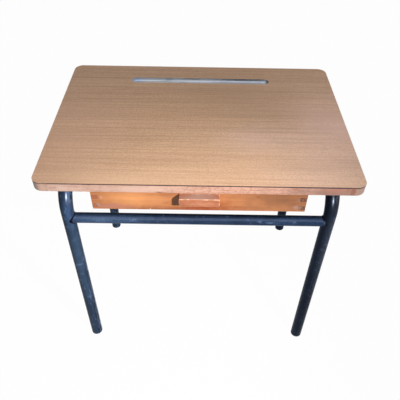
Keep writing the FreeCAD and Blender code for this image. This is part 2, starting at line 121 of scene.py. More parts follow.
@dataclass(frozen=True)
class Mark:
    """A stain, chip, worn patch or change of tone at one place.

    Attributes:
        centre: Its middle.
        reach: Its half size along X, Y and Z.
        colour: Its colour.
        strength: How far it covers what is under it.
        soft: The share of its size over which it fades.
        ragged: How uneven its edge is, as a share of its size.
        grit: The size of the unevenness.
    """

    centre: Triple
    reach: Triple
    colour: str
    strength: float
    soft: float
    ragged: float
    grit: float


Marks = tuple[Mark, ...]
MARKS: dict[str, Marks] = {
    # broad patches that copy how light falls across the top: paler in front, darker at the back, cooler and
    # redder at the right: painted light and shade
    "laminate_sheet": (
        Mark((70, -190, 620), (240, 150, 60), "C29A78", 0.3, 1.0, 0.2, 90),
        Mark((-310, -90, 620), (170, 270, 60), "C69C86", 0.4, 1.0, 0.2, 90),
        Mark((330, -30, 620), (150, 200, 60), "DCB09A", 0.55, 1.0, 0.2, 90),
        Mark((285, -225, 620), (230, 120, 60), "A4887A", 0.4, 1.0, 0.2, 90),
        Mark((110, 100, 620), (190, 190, 60), "AE8660", 0.45, 1.0, 0.2, 90),
        Mark((-170, -240, 620), (240, 60, 60), "DCB492", 0.5, 1.0, 0.2, 60),
        Mark((130, -90, 620), (110, 70, 60), "CDAA98", 0.35, 1.0, 0.2, 60),
    ),
    # paler at the left and darker at the right: painted light falling off to the right, over paler wood at
    # the left; small knocks and stains, and the dark glue line under the laminate
    "beech_lipping_front": (
        Mark((-150, -250, 608), (150, 40, 22), "DCB8A4", 0.75, 0.9, 0.4, 30),
        Mark((-285, -250, 608), (75, 40, 25), "EAC6B4", 0.8, 0.9, 0.4, 20),
        Mark((258, -250, 606), (140, 40, 25), "8A6658", 0.85, 0.9, 0.4, 30),
        Mark((200, -250, 614), (10, 20, 5), "A87058", 0.9, 0.8, 0.6, 5),
        Mark((286, -250, 611), (42, 20, 7), "AC7460", 0.8, 0.8, 0.6, 9),
        Mark((-80, -250, 598.5), (15, 20, 3), "8A5A3E", 0.8, 0.6, 0.9, 4),
        Mark((-305, -250, 607), (16, 20, 5), "CA9A86", 0.7, 0.7, 0.8, 5),
        Mark((-262, -250, 612), (30, 20, 4), "CE9E8A", 0.7, 0.7, 0.8, 5),
        Mark((0, -250, 619), (1500, 12, 2.4), "46343A", 0.9, 0.5, 0.2, 24),
        Mark((500, -250, 619), (560, 12, 3.0), "44303A", 0.9, 0.5, 0.2, 24),
    ),
    "beech_lipping_left": (
        Mark((-340, -245, 619), (40, 30, 2.2), "46343A", 0.9, 0.5, 0.2, 24),
        Mark((-330, -252, 608), (26, 16, 16), "DDB6A2", 0.85, 0.6, 0.4, 8),
        # the dark end of the left corner is painted shade
        Mark((-352, -228, 606), (11, 20, 30), "57463A", 0.85, 0.7, 0.5, 6),
    ),
    "beech_lipping_right": (
        Mark((339, -245, 608), (18, 26, 30), "A88A7A", 0.75, 0.7, 0.4, 8),
        Mark((316, -250, 608), (11, 12, 30), "955C49", 0.8, 0.3, 0.2, 4),
        Mark((340, -245, 619), (40, 30, 3), "44303A", 0.85, 0.5, 0.2, 24),
    ),
    # a painted reflection of blue sky at the left end, a brown spot, painted shade with dirt along the top of
    # the far wall, a greyer floor to the right, and painted shade in the right end
    "pressed_tray": (
        Mark((-172, 174, 613), (26, 16, 12), "7C94BA", 0.6, 0.8, 0.3, 8),
        Mark((-132, 173, 612), (7, 4, 4), "6A6058", 0.7, 0.6, 0.7, 4),
        Mark((60, 188, 619), (240, 4.5, 5), "3C4048", 0.4, 0.6, 0.3, 9),
        Mark((120, 188, 618), (90, 5, 6), "26282E", 0.7, 0.6, 0.3, 9),
        Mark((110, 174, 611), (105, 20, 16), "8C8E96", 0.7, 0.7, 0.3, 12),
        Mark((186, 175, 615), (11, 22, 16), "1C1E22", 0.8, 0.6, 0.3, 6),
    ),
    # a painted sheen at the left knee, a paler tone over the left front leg that is painted light with rubbed
    # enamel, and chips lower down
    "bent_tube_left": (
        Mark((-294, -231, 515), (15, 14, 60), "46608A", 0.6, 1.0, 0.3, 20),
        Mark((-299, -231, 330), (22, 16, 190), "435A72", 0.45, 0.9, 0.3, 20),
        Mark((-299, -231, 330), (12, 9, 5), "5F7692", 0.5, 0.6, 0.9, 3),
        Mark((-291, -231, 190), (7, 9, 8), "5F7692", 0.4, 0.6, 0.9, 3),
    ),
    "bent_tube_right": (Mark((299, -231, 400), (8, 9, 6), "4A5C74", 0.4, 0.6, 0.9, 3),),
    # a broad paler patch over the bar's left part, painted light; and enamel scuffed by shoes and chairs
    "cross_tube_front": (
        Mark((-215, -220.5, 489), (150, 30, 22), "46586F", 0.8, 0.9, 0.4, 14),
        *(Mark((x, -224.5, z), (reach, 9, 3.5), "6A7E98", 0.5, 0.6, 1.1, 3) for x, z, reach in (
            (-225, 489, 30), (-150, 490, 14), (140, 490, 6), (165, 488, 20), (219, 490, 6))),
    ),
    # a painted highlight on the right front bead
    "rippled_welds": (Mark((286, -228, 488), (4, 4, 7), "7488A6", 0.9, 0.5, 0.3, 3),),
    # paler at the left and darker at the right: painted light falling off to the right; darker along the
    # bottom and redder along the top; painted shade under the pull; chips, and wear where the joints meet
    "jointed_front": (
        Mark((-150, -230, 562), (85, 20, 30), "E89E62", 0.8, 1.0, 0.3, 25),
        Mark((190, -230, 560), (150, 20, 60), "764D34", 0.85, 1.0, 0.3, 25),
        Mark((-40, -230, 531), (220, 20, 11), "8E5434", 0.75, 0.8, 0.5, 14),
        Mark((-70, -230, 594), (190, 20, 11), "A0602F", 0.6, 0.8, 0.5, 14),
        Mark((-190, -230, 538), (58, 20, 9), "B47660", 0.9, 0.7, 0.5, 10),
        Mark((-213, -230, 563), (3.4, 6, 7), "D29A80", 0.8, 0.6, 0.3, 4),
        Mark((10, -230, 543), (85, 20, 26), "8E3A0C", 0.85, 0.9, 0.4, 14),
        Mark((-108, -230, 530), (2, 6, 2), "CDB39C", 1.0, 0.4, 0.5, 3),
        Mark((128, -230, 571), (6, 6, 3), "7A4830", 0.8, 0.6, 0.6, 4),
        Mark((213, -230, 541), (9, 8, 8), "A88070", 0.7, 0.7, 0.5, 4),
        Mark((217, -230, 563), (6, 8, 6), "9C7060", 0.5, 0.7, 0.5, 4),
    ),
    "jointed_side_left": (
        Mark((-220.5, -230, 540.5), (8, 6, 7), "AE8A76", 0.8, 0.5, 0.4, 4),
        Mark((-225, -230, 539), (3, 6, 3), "7A5A4A", 0.8, 0.5, 0.4, 3),
    ),
    "jointed_side_right": (Mark((222, -230, 540), (6, 6, 6), "96786A", 0.7, 0.5, 0.4, 4),),
    # greyed by hands on top, and rubbed paler in front
    "block_pull": (
        Mark((0, -240, 580.5), (60, 30, 5), "B29282", 0.9, 0.7, 0.3, 12),
        Mark((-10, -249, 572), (5, 4, 4), "A8583A", 0.6, 0.6, 0.5, 4),
        Mark((4, -249, 566), (44, 4, 9), "D09070", 0.5, 1.0, 0.5, 10),
    ),
}


class Painter:
    """Lays colour, gloss and relief over each other in one material.

    Attributes:
        material: The material that is being made.
        colour: The colour so far, a value or a socket.
        gloss: The roughness so far, a value or a socket.
        height: The relief so far in metres, or None.
        place: The position on the desk.
        facing: The direction that the surface faces.
    """

    def __init__(self, name: str, base: str, roughness: float, **shader: float) -> None:
        """Start a material.

        Args:
            name: The material's name.
            base: Its base colour.
            roughness: Its roughness.
            **shader: Other inputs of the shader, with spaces written as underscores.
        """
        self.material = bpy.data.materials.new(name)
        self.material.use_nodes = True
        self.tree = self.material.node_tree
        self.shader = self.tree.nodes["Principled BSDF"]
        for key, value in shader.items():
            self.shader.inputs[key.replace("_", " ")].default_value = value
        self.colour = linear(base)
        self.gloss = roughness
        self.height = None
        self.place = self.node("TexCoord", out="Object")
        self.facing = self.node("TexCoord", out="Normal")

    def node(self, kind: str, links: dict | None = None, out: str | int = 0, **settings: object) -> Socket:
        """Add a node to this material, with the arguments of add_node."""
        return add_node(self.tree, kind, links, out, **settings)

    def pattern(self, size: Triple, low: float, high: float, strength: float = 1.0,
                seed: float = 0.0, detail: float = 2.0, bend: float = 0.0) -> Socket:
        """Make a mask from cloudy noise.

        Args:
            size: The noise's size along X, Y and Z.
            low: The noise value at which the mask starts.
            high: The noise value at which it is full.
            strength: Its full value.
            seed: Where in the noise it is taken.
            detail: How much finer noise it carries.
            bend: How far it is distorted.

        Returns:
            The mask.
        """
        cell = self.node("Mapping", {"Vector": self.place, "Location": (seed, seed * 1.7, seed * 0.6),
                                     "Scale": tuple(1 / (part * MM) for part in size)})
        noise = self.node("TexNoise", {"Vector": cell, "Scale": 1.0, "Detail": detail, "Distortion": bend})
        return self.node("MapRange", {"Value": noise, "From Min": low, "From Max": high, "To Max": strength})

    def spot(self, mark: Mark) -> Socket:
        """Make a mask for one mark.

        Args:
            mark: The mark.

        Returns:
            The mask.
        """
        centred = self.node("Mapping", {
            "Vector": self.place, "Location": tuple(-c / r for c, r in zip(mark.centre, mark.reach)),
            "Scale": tuple(1 / (r * MM) for r in mark.reach)})
        distance = self.node("VectorMath", {0: centred}, out="Value", operation="LENGTH")
        rough = self.pattern((mark.grit,) * 3, 0.3, 0.7, mark.ragged, mark.centre[0], 3.0)
        uneven = self.node("Math", {0: distance, 1: rough}, operation="ADD")
        rim = 1 + mark.ragged / 2
        return self.node("MapRange", {"Value": uneven, "From Min": rim, "From Max": rim - mark.soft,
                                      "To Max": mark.strength})

    def arris(self, low: Vector, high: Vector, reach: float, grit: float, strength: float) -> Socket:
        """Make a mask for the worn edges of a block.

        Args:
            low: The block's lowest corner.
            high: Its highest corner.
            reach: How far the wear reaches from the edge.
            grit: The size of its unevenness.
            strength: Its full value.

        Returns:
            The mask.
        """
        centre, half = (low + high) / 2 * MM, (high - low) / 2 * MM
        offset = self.node("VectorMath", {0: self.place, 1: centre}, operation="SUBTRACT")
        offset = self.node("VectorMath", {0: offset}, operation="ABSOLUTE")
        inside = self.node("VectorMath", {0: half, 1: offset}, operation="SUBTRACT")
        x, y, z = (self.node("SeparateXYZ", {0: inside}, out=axis) for axis in range(3))
        near = self.node("Math", {0: x, 1: y}, operation="MINIMUM")
        far = self.node("Math", {0: x, 1: y}, operation="MAXIMUM")
        middle = self.node("Math", {0: far, 1: z}, operation="MINIMUM")
        middle = self.node("Math", {0: near, 1: middle}, operation="MAXIMUM")
        rough = self.pattern((grit,) * 3, 0.3, 0.7, reach * MM, low[0], 3.0)
        uneven = self.node("Math", {0: middle, 1: rough}, operation="ADD")
        return self.node("MapRange", {"Value": uneven, "From Min": reach * MM, "From Max": reach * MM * 0.4,
                                      "To Max": strength})

    def ends(self, grain: Grain) -> Socket:
        """Make a mask of the faces that cut across the grain.

        Args:
            grain: Which way the fibres run.

        Returns:
            The mask.
        """
        part = self.node("SeparateXYZ", {0: self.facing}, out=grain.value)
        part = self.node("Math", {0: part}, operation="ABSOLUTE")
        return self.node("MapRange", {"Value": part, "From Min": 0.6, "From Max": 0.7})

    def lay(self, mask: Socket, colour: str) -> None:
        """Lay a colour over the material where a mask says."""
        self.colour = self.node("Mix", {0: mask, 6: self.colour, 7: linear(colour)}, out=2, data_type="RGBA")

    def cloud(self, colour: str, *noise: Triple | float) -> Socket:
        """Lay a colour through cloudy noise.

        Args:
            colour: The colour.
            *noise: The arguments of pattern.

        Returns:
            The mask that it was laid through.
        """
        mask = self.pattern(*noise)
        self.lay(mask, colour)
        return mask

    def dull(self, mask: Socket, change: float) -> None:
        """Change the roughness where a mask says."""
        self.gloss = self.node("Math", {0: mask, 1: change, 2: self.gloss}, operation="MULTIPLY_ADD")

    def raise_by(self, mask: Socket, depth: float) -> None:
        """Raise the surface, or sink it by a negative depth, where a mask says."""
        self.height = self.node("Math", {0: mask, 1: depth * MM, 2: self.height or 0.0},
                                operation="MULTIPLY_ADD")

    def mark_all(self, marks: Marks) -> None:
        """Lay every mark over the material."""
        for mark in marks:
            self.lay(self.spot(mark), mark.colour)

    def finish(self) -> bpy.types.Material:
        """Link what was laid to the shader.

        Returns:
            The finished material.
        """
        for value, name in ((self.colour, "Base Color"), (self.gloss, "Roughness")):
            if isinstance(value, Socket):
                self.tree.links.new(value, self.shader.inputs[name])
            else:
                self.shader.inputs[name].default_value = value
        if self.height:
            normal = self.node("Bump", {"Height": self.height, "Distance": 1.0})
            self.tree.links.new(normal, self.shader.inputs["Normal"])
        return self.material


@dataclass(frozen=True)
class PrintedLaminate:
    """High-pressure laminate, pressed from a wood-grain print on brown kraft paper.

    To the eye it is an even satin brown with fine straight streaks, and its cut edge is a
    dark brown line. The streaks of the real print are about 0.7 mm wide and its pores
    0.2 mm. They are drawn about 4 mm and 2 mm wide, because finer ones don't show.
    """

    name: str
    tone: str
    streak: str
    light: str
    edge: str

    def make(self, marks: Marks = ()) -> bpy.types.Material:
        """Make the material.

        Args:
            marks: The marks on its piece.

        Returns:
            The material.
        """
        paint = Painter(self.name, self.tone, 0.42, IOR=1.5, Specular_IOR_Level=0.28)
        paint.cloud(self.light, (900, 40, 40), 0.35, 0.7, 0.3, 3)
        paint.cloud(self.streak, (700, 12, 12), 0.42, 0.66, 0.24, 5)
        paint.cloud(self.streak, (420, 4.2, 4.2), 0.44, 0.64, 0.32, 9)
        paint.cloud(self.light, (300, 4.6, 4.6), 0.46, 0.64, 0.36, 13)
        paint.cloud(self.streak, (3.4, 4, 4), 0.46, 0.6, 0.36, 17, 3)
        pores = paint.cloud(self.streak, (40, 2.0, 2.0), 0.56, 0.68, 0.3, 21)
        paint.mark_all(marks)
        paint.dull(paint.pattern((60, 60, 60), 0.4, 0.62, seed=31), 0.07)
        paint.raise_by(pores, -0.03)
        level = paint.node("SeparateXYZ", {0: paint.facing}, out=2)
        cut = paint.node("MapRange", {"Value": level, "From Min": 0.97, "From Max": 0.85})
        paint.lay(cut, self.edge)
        return paint.finish()


@dataclass(frozen=True)
class SolidWood:
    """Planed and varnished solid wood.

    To the eye it has long wavy bands of growth along the board, fine fibres, darker end
    grain, a soft shine, and pale edges where the varnish is worn off. The fibres are drawn
    1.6 mm wide, because real ones of 0.3 mm don't show.

    Attributes:
        grain: Which way the fibres run.
        tone: The colour between the bands.
        dark: The colour of the bands.
        fleck: The colour of the fine fibres.
        end: The colour of the end grain.
        band: The width of a growth band.
        run: The length of a band.
        contrast: The strength of the bands.
        worn: The colour of worn edges.
        rays: The strength of the short dark flecks that beech has.
        block: The corners of the block whose edges are worn, or None.
        wear: How far the wear reaches from the edge.
        roughness: The varnish's roughness.
        coat: The varnish's strength.
        seed: Where in the noise the pattern is taken.
    """

    name: str
    grain: Grain
    tone: str = "C08A5E"
    dark: str = "A06C44"
    fleck: str = "8C5C3A"
    end: str = "A87A5A"
    band: float = 10.0
    run: float = 170.0
    contrast: float = 0.4
    worn: str = "E6C8AC"
    rays: float = 0.0
    block: tuple[Vector, Vector] | None = None
    wear: float = 1.2
    roughness: float = 0.42
    coat: float = 0.12
    seed: float = 0.0

    def make(self, marks: Marks = ()) -> bpy.types.Material:
        """Make the material.

        Args:
            marks: The marks on its piece.

        Returns:
            The material.
        """
        size, seed = self.grain.size, self.seed
        paint = Painter(self.name, self.tone, self.roughness, IOR=1.5, Specular_IOR_Level=0.25,
                        Coat_Weight=self.coat, Coat_Roughness=0.22)
        paint.cloud(self.dark, size(self.run * 2.2, self.band * 4), 0.38, 0.66, self.contrast, seed + 1)
        growth = size(self.run, self.band)
        bands = paint.cloud(self.dark, growth, 0.44, 0.62, self.contrast, seed + 4, 3, 0.35)
        fibres = paint.cloud(self.fleck, size(34, 1.6), 0.5, 0.68, 0.35, seed + 8)
        if self.rays:
            paint.cloud(self.fleck, size(6, 3), 0.5, 0.62, self.rays, seed + 11, 3)
        ends = paint.ends(self.grain)
        paint.lay(ends, self.end)
        specks = paint.pattern((2.4, 2.4, 2.4), 0.45, 0.6, 0.5, seed + 15)
        paint.lay(paint.node("Math", {0: ends, 1: specks}, operation="MULTIPLY"), self.dark)
        paint.mark_all(marks)
        if self.block:
            worn = paint.arris(*self.block, self.wear, grit=7.0, strength=0.8)
            paint.lay(worn, self.worn)
            paint.dull(worn, 0.2)
        paint.raise_by(bands, 0.05)
        paint.raise_by(fibres, -0.06)
        return paint.finish()


@dataclass(frozen=True)
class Enamel:
    """Stoving enamel, sprayed on steel tube.

    To the eye it is smooth and satin, with the slight waves of sprayed paint, and scuffs
    and scratches where shoes and chairs have rubbed it.
    """

    name: str
    seed: float
    rubbed: float
    tone: str = "2D3B50"
    shade: str = "1F2A3B"
    scuff: str = "586C86"

    def make(self, marks: Marks = ()) -> bpy.types.Material:
        """Make the material.

        Args:
            marks: The marks on its piece.

        Returns:
            The material.
        """
        seed = self.seed
        paint = Painter(self.name, self.tone, 0.26, IOR=1.52, Specular_IOR_Level=0.02)
        paint.cloud(self.shade, (45, 45, 70), 0.4, 0.65, 0.6, seed + 2, 4)
        scuffs = paint.cloud(self.scuff, (7, 7, 13), 0.62, 0.72, self.rubbed, seed + 7, 5)
        paint.cloud(self.scuff, (2.2, 2.2, 38), 0.66, 0.72, self.rubbed * 0.7, seed + 12)
        paint.mark_all(marks)
        paint.dull(scuffs, 0.25)
        paint.raise_by(paint.pattern((3.0, 3.0, 3.0), 0.3, 0.7, 1.0, seed + 17, 1), 0.02)
        return paint.finish()


@dataclass(frozen=True)
class PressedAluminium:
    """Thin aluminium sheet, pressed to a trough and left dull.

    To the eye it is a cold light grey with fine lines and clouds of dirt along the trough. Its marks add a
    painted reflection, painted shade with dirt along the far wall, and painted shade in one end.
    """

    name: str
    tone: str
    dirt: str

    def make(self, marks: Marks = ()) -> bpy.types.Material:
        """Make the material.

        Args:
            marks: The marks on its piece.

        Returns:
            The material.
        """
        paint = Painter(self.name, self.tone, 0.62, Metallic=1.0)
        lines = paint.cloud(self.dirt, (70, 1.4, 1.4), 0.44, 0.64, 0.3, 2)
        paint.cloud(self.dirt, (34, 9, 9), 0.5, 0.72, 0.4, 6, 4)
        paint.mark_all(marks)
        paint.dull(lines, 0.15)
        return paint.finish()


@dataclass(frozen=True)
class PressedBoard:
    """Board pressed from chips or fibres: particle board, hardboard or balancing sheet.

    To the eye it is a mottle of small flat chips, which are about 3 mm wide in particle
    board and hardly show in hardboard.
    """

    name: str
    tone: str
    chip: str
    size: float
    contrast: float

    def make(self) -> bpy.types.Material:
        """Make the material.

        Returns:
            The material.
        """
        paint = Painter(self.name, self.tone, 0.7)
        size = (self.size * 2, self.size * 1.6, self.size)
        chips = paint.cloud(self.chip, size, 0.42, 0.6, self.contrast, 1, 3)
        paint.cloud(self.chip, (90, 90, 90), 0.4, 0.7, 0.3, 5, 3)
        paint.raise_by(chips, -0.05)
        return paint.finish()


@dataclass(frozen=True)
class PlatedSteel:
    """Zinc-plated steel screws and nails.

    To the eye they are dull grey metal with slightly brown spots in the plating.
    """

    name: str
    tone: str
    stain: str

    def make(self) -> bpy.types.Material:
        """Make the material.

        Returns:
            The material.
        """
        paint = Painter(self.name, self.tone, 0.36, Metallic=1.0)
        spots = paint.cloud(self.stain, (2.2, 2.2, 2.2), 0.5, 0.68, 0.6, 4, 3)
        paint.dull(spots, 0.25)
        return paint.finish()


@dataclass(frozen=True)
class MouldedPlastic:
    """Polyethylene, moulded as the plugs of the feet.

    To the eye it is nearly black and waxy, with pale scratches near the floor.
    """

    name: str
    tone: str
    scratch: str

    def make(self) -> bpy.types.Material:
        """Make the material.

        Returns:
            The material.
        """
        paint = Painter(self.name, self.tone, 0.48, IOR=1.51)
        scratches = paint.cloud(self.scratch, (9, 9, 1.4), 0.6, 0.7, 0.5, 3, 3)
        paint.raise_by(scratches, -0.04)
        return paint.finish()


MarkedFinish = PrintedLaminate | SolidWood | Enamel | PressedAluminium
Finish = MarkedFinish | PressedBoard | PlatedSteel | MouldedPlastic


def only(parts: list, kind: type) -> list:
    """Return the parts of a mesh that are of one kind."""
    return [part for part in parts if isinstance(part, kind)]


def plate(width: float, depth: float, centre: Triple = (0, 0, 0)) -> Shape:
    """Make a flat rectangle.

    Args:
        width: Its size along X.
        depth: Its size along Y.
        centre: Its middle.

    Returns:
        A mesh with one face.
    """
    shape = bmesh.new()
    bmesh.ops.create_grid(shape, x_segments=1, y_segments=1, size=0.5)
    bmesh.ops.scale(shape, vec=(width, depth, 1), verts=shape.verts)
    bmesh.ops.translate(shape, vec=centre, verts=shape.verts)
    return shape


def round_corners(shape: Shape, corners: list, radius: float) -> None:
    """Round corners of a flat shape."""
    bmesh.ops.bevel(shape, geom=corners, offset=radius, offset_type="OFFSET", segments=CORNER_STEPS,
                    profile=0.5, affect="VERTICES", material=-1)


def rounded_plate(width: float, depth: float, radius: float) -> Shape:
    """Make a flat plate with rounded corners, centred at zero.

    Args:
        width: Its size along X.
        depth: Its size along Y.
        radius: The radius of its corners.

    Returns:
        A mesh with one face.
    """
    shape = plate(width, depth)
    round_corners(shape, shape.verts[:], radius)
    bmesh.ops.remove_doubles(shape, verts=shape.verts, dist=CLOSE)
    return shape


def joined(shape: Shape, other: Shape) -> None:
    """Move everything in another mesh into a shape.

    Args:
        shape: The mesh that takes it.
        other: The mesh that is emptied and freed.
    """
    carrier = bpy.data.meshes.new("carrier")
    other.to_mesh(carrier)
    other.free()
    shape.from_mesh(carrier)
    bpy.data.meshes.remove(carrier)


def pulled(shape: Shape, faces: list, offset: Triple) -> list:
    """Extrude faces and move the new ones.

    Args:
        shape: The mesh that they are in.
        faces: The faces.
        offset: How far the new faces move.

    Returns:
        The new faces at the far end.
    """
    made = bmesh.ops.extrude_face_region(shape, geom=faces)["geom"]
    bmesh.ops.translate(shape, vec=offset, verts=only(made, Vert))
    return only(made, Face)


def sharp_edges(shape: Shape, least: float = SQUARE) -> list:
    """Return the edges at which the surface turns by at least an angle in degrees."""
    return [e for e in shape.edges if len(e.link_faces) == 2 and e.calc_face_angle(0) > math.radians(least)]


def soften(shape: Shape, edges: list, radius: float, steps: int) -> None:
    """Round edges of a shape.

    Args:
        shape: The mesh.
        edges: The edges.
        radius: The size of the rounding.
        steps: The number of faces across it.
    """
    bmesh.ops.bevel(shape, geom=edges, offset=radius, offset_type="OFFSET", segments=steps, profile=0.5,
                    affect="EDGES", clamp_overlap=True, material=-1)


def block_of(node: str) -> tuple[Vector, Vector]:
    """Return a CAD node's lowest and highest corners in millimetres."""
    low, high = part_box(node)
    return low / MM, high / MM


def copy_of(node: str) -> Shape:
    """Copy a CAD node's mesh, merged, with its flat faces whole.

    Args:
        node: The CAD node.

    Returns:
        The mesh, in millimetres.
    """
    shape = bmesh.new()
    shape.from_mesh(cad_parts[node].data)
    bmesh.ops.scale(shape, vec=(1 / MM,) * 3, verts=shape.verts)
    bmesh.ops.remove_doubles(shape, verts=shape.verts, dist=MERGE)
    bmesh.ops.dissolve_limit(shape, angle_limit=math.radians(FLAT), verts=shape.verts, edges=shape.edges)
    return shape


def settle(shape: Shape, name: str, finish: MarkedFinish, node: str,
           body: Body = Body.DESK) -> None:
    """Turn a finished shape to a piece of the desk.

    Args:
        shape: The mesh, in millimetres. It is freed.
        name: The piece's name.
        finish: What its material is made by.
        node: The CAD node that it stands for.
        body: What it moves with.
    """
    bmesh.ops.remove_doubles(shape, verts=shape.verts, dist=MERGE)
    bmesh.ops.recalc_face_normals(shape, faces=shape.faces)
    bmesh.ops.scale(shape, vec=(MM,) * 3, verts=shape.verts)
    for face in shape.faces:
        face.smooth = True
    for edge in sharp_edges(shape, CREASE):
        edge.smooth = False
    open_edges = sum(not edge.is_manifold for edge in shape.edges)
    mesh = bpy.data.meshes.new(name)
    shape.to_mesh(mesh)
    shape.free()
    piece = bpy.data.objects.new(name, mesh)
    bpy.context.scene.collection.objects.link(piece)
    mesh.materials.append(finish.make(MARKS.get(name, ())))
    piece.modifiers.new("Even shading", "WEIGHTED_NORMAL").keep_sharp = True
    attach(piece, body.value)
    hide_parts(node)
    log.info("%s: %d faces, %d open edges", name, len(mesh.polygons), open_edges)


def dress(names: list[str], finish: Finish, arris: float) -> None:
    """Give kept CAD nodes their material and softened edges.

    Args:
        names: The nodes.
        finish: What their one material is made by.
        arris: The size of the softening.
    """
    material = finish.make()
    for name in names:
        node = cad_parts[name]
        node.material_slots[0].material = material
        node.modifiers.new("Whole surface", "WELD").merge_threshold = MERGE * MM
        bevel = node.modifiers.new("Softened edges", "BEVEL")
        bevel.width, bevel.segments, bevel.limit_method = arris * MM, 2, "ANGLE"
        bevel.angle_limit = math.radians(BROKEN)
        node.modifiers.new("Even shading", "WEIGHTED_NORMAL").keep_sharp = True
        log.info("%s: dressed", name)


@dataclass
class DeskTop:
    """The panel: laminate on particle board, solid lipping all round, and the pen tray.

    Attributes:
        width, depth, height: The outline, and the level of its upper face.
        corner: The radius of its corners.
        sheet, filed: The laminate's thickness, and how far its edge is filed back.
        lip_width, lip_low: The lipping's width, and the level of its underside.
        arris, glue_arris, joint_arris: The rounding of the lipping's lower edge, of its edge
            under the laminate and of its joints.
        spared: How far over the top the block of the lipping's wear ends, which keeps the
            wear off the edge under the laminate.
        groove_length, groove_width, groove_y: The pen groove, and where its middle is.
        tray_wall, tray_low, tray_rim: The tray's thickness and its lowest and highest levels.
        tray_bend: The inner radius where the tray's floor turns up.
        hair: What the groove's ends lack of a half circle, so that their roundings don't meet.
        core_arris, backing_arris: The softening of the particle board and of its backing.
    """

    width: float = 700.0
    depth: float = 500.0
    height: float = 620.0
    corner: float = 22.0
    sheet: float = 1.0
    filed: float = 0.75
    lip_width: float = 35.0
    lip_low: float = 597.0
    arris: float = 2.0
    glue_arris: float = 0.5
    joint_arris: float = 0.25
    spared: float = 10.0
    groove_length: float = 368.0
    groove_width: float = 25.0
    groove_y: float = 174.0
    tray_wall: float = 1.0
    tray_low: float = 611.0
    tray_rim: float = 619.6
    tray_bend: float = 5.0
    hair: float = 0.01
    core_arris: float = 0.2
    backing_arris: float = 0.15

    def groove(self, level: float) -> Shape:
        """Make the pen groove's outline as a flat plate.

        Args:
            level: Its height.

        Returns:
            A mesh with one face.
        """
        shape = rounded_plate(self.groove_length, self.groove_width, self.groove_width / 2 - self.hair)
        bmesh.ops.translate(shape, vec=(0, self.groove_y, level), verts=shape.verts)
        return shape

    def laminate(self) -> None:
        """Build the sheet, with its filed dark edge and the groove's opening."""
        shape = rounded_plate(self.width, self.depth, self.corner)
        joined(shape, self.groove(0))
        bmesh.ops.delete(shape, geom=shape.faces[:], context="FACES_ONLY")
        made = bmesh.ops.triangle_fill(shape, edges=shape.edges[:], use_beauty=True, use_dissolve=False)
        bmesh.ops.translate(shape, vec=(0, 0, self.height - self.sheet), verts=shape.verts)
        pulled(shape, only(made["geom"], Face), (0, 0, self.sheet))
        middle = self.height - self.sheet / 2
        rim = [e for e in sharp_edges(shape) if all(v.co.z > middle for v in e.verts)]
        soften(shape, rim, self.filed, steps=1)
        finish = PrintedLaminate("Wood-grain laminate, satin pressed", "C49C7C", "926F50", "DAB18C", "20120F")
        settle(shape, "laminate_sheet", finish, "top_laminate")

    def outside(self, edge: Edge) -> bool:
        """Say whether both ends of an edge are on the outline of the desk."""
        insets = [(self.width / 2 - abs(v.co.x), self.depth / 2 - abs(v.co.y)) for v in edge.verts]
        return all(min(inset) < NEAR or max(inset) < self.corner + NEAR for inset in insets)

    def strip(self, x_range: tuple[float, float], y_range: tuple[float, float]) -> Shape:
        """Make one strip of the lipping.

        Args:
            x_range: Its limits along X.
            y_range: Its limits along Y.

        Returns:
            The strip, with rounded corners where it reaches the corners of the desk.
        """
        shape = plate(x_range[1] - x_range[0], y_range[1] - y_range[0],
                      (sum(x_range) / 2, sum(y_range) / 2, self.lip_low))
        corners = [v for v in shape.verts
                   if abs(v.co.x) > self.width / 2 - NEAR and abs(v.co.y) > self.depth / 2 - NEAR]
        if corners:
            round_corners(shape, corners, self.corner)
        top = pulled(shape, shape.faces[:], (0, 0, self.height - self.sheet - self.lip_low))
        lower = [e for e in sharp_edges(shape)
                 if self.outside(e) and all(v.co.z < self.lip_low + NEAR for v in e.verts)]
        soften(shape, lower, self.arris, steps=4)
        upper = [e for e in dict.fromkeys(e for f in top for e in f.edges) if self.outside(e)]
        soften(shape, upper, self.glue_arris, steps=1)
        rest = [e for e in sharp_edges(shape) if not self.outside(e)]
        soften(shape, rest, self.joint_arris, steps=1)
        return shape

    def lipping(self) -> None:
        """Build the four strips of solid beech."""
        x, y = self.width / 2, self.depth / 2
        inner_x, inner_y = x - self.lip_width, y - self.lip_width
        block = (Vector((-x, -y, self.lip_low)), Vector((x, y, self.height + self.spared)))
        strips = {
            "front": (((-inner_x, inner_x), (-y, -inner_y)), Grain.X),
            "back": (((-inner_x, inner_x), (inner_y, y)), Grain.X),
            "left": (((-x, -inner_x), (-y, y)), Grain.Y),
            "right": (((inner_x, x), (-y, y)), Grain.Y),
        }
        for index, (place, (ranges, grain)) in enumerate(strips.items()):
            finish = SolidWood(f"Beech, planed and varnished, {place} strip", grain, "D3A58E", "B8866E",
                               "9C6C58", "C09882", band=5, run=70, worn="DCC0AC", block=block, rays=0.55,
                               wear=2.6, roughness=0.45, seed=index * 3.0)
            settle(self.strip(*ranges), f"beech_lipping_{place}", finish, f"lipping_{place}")

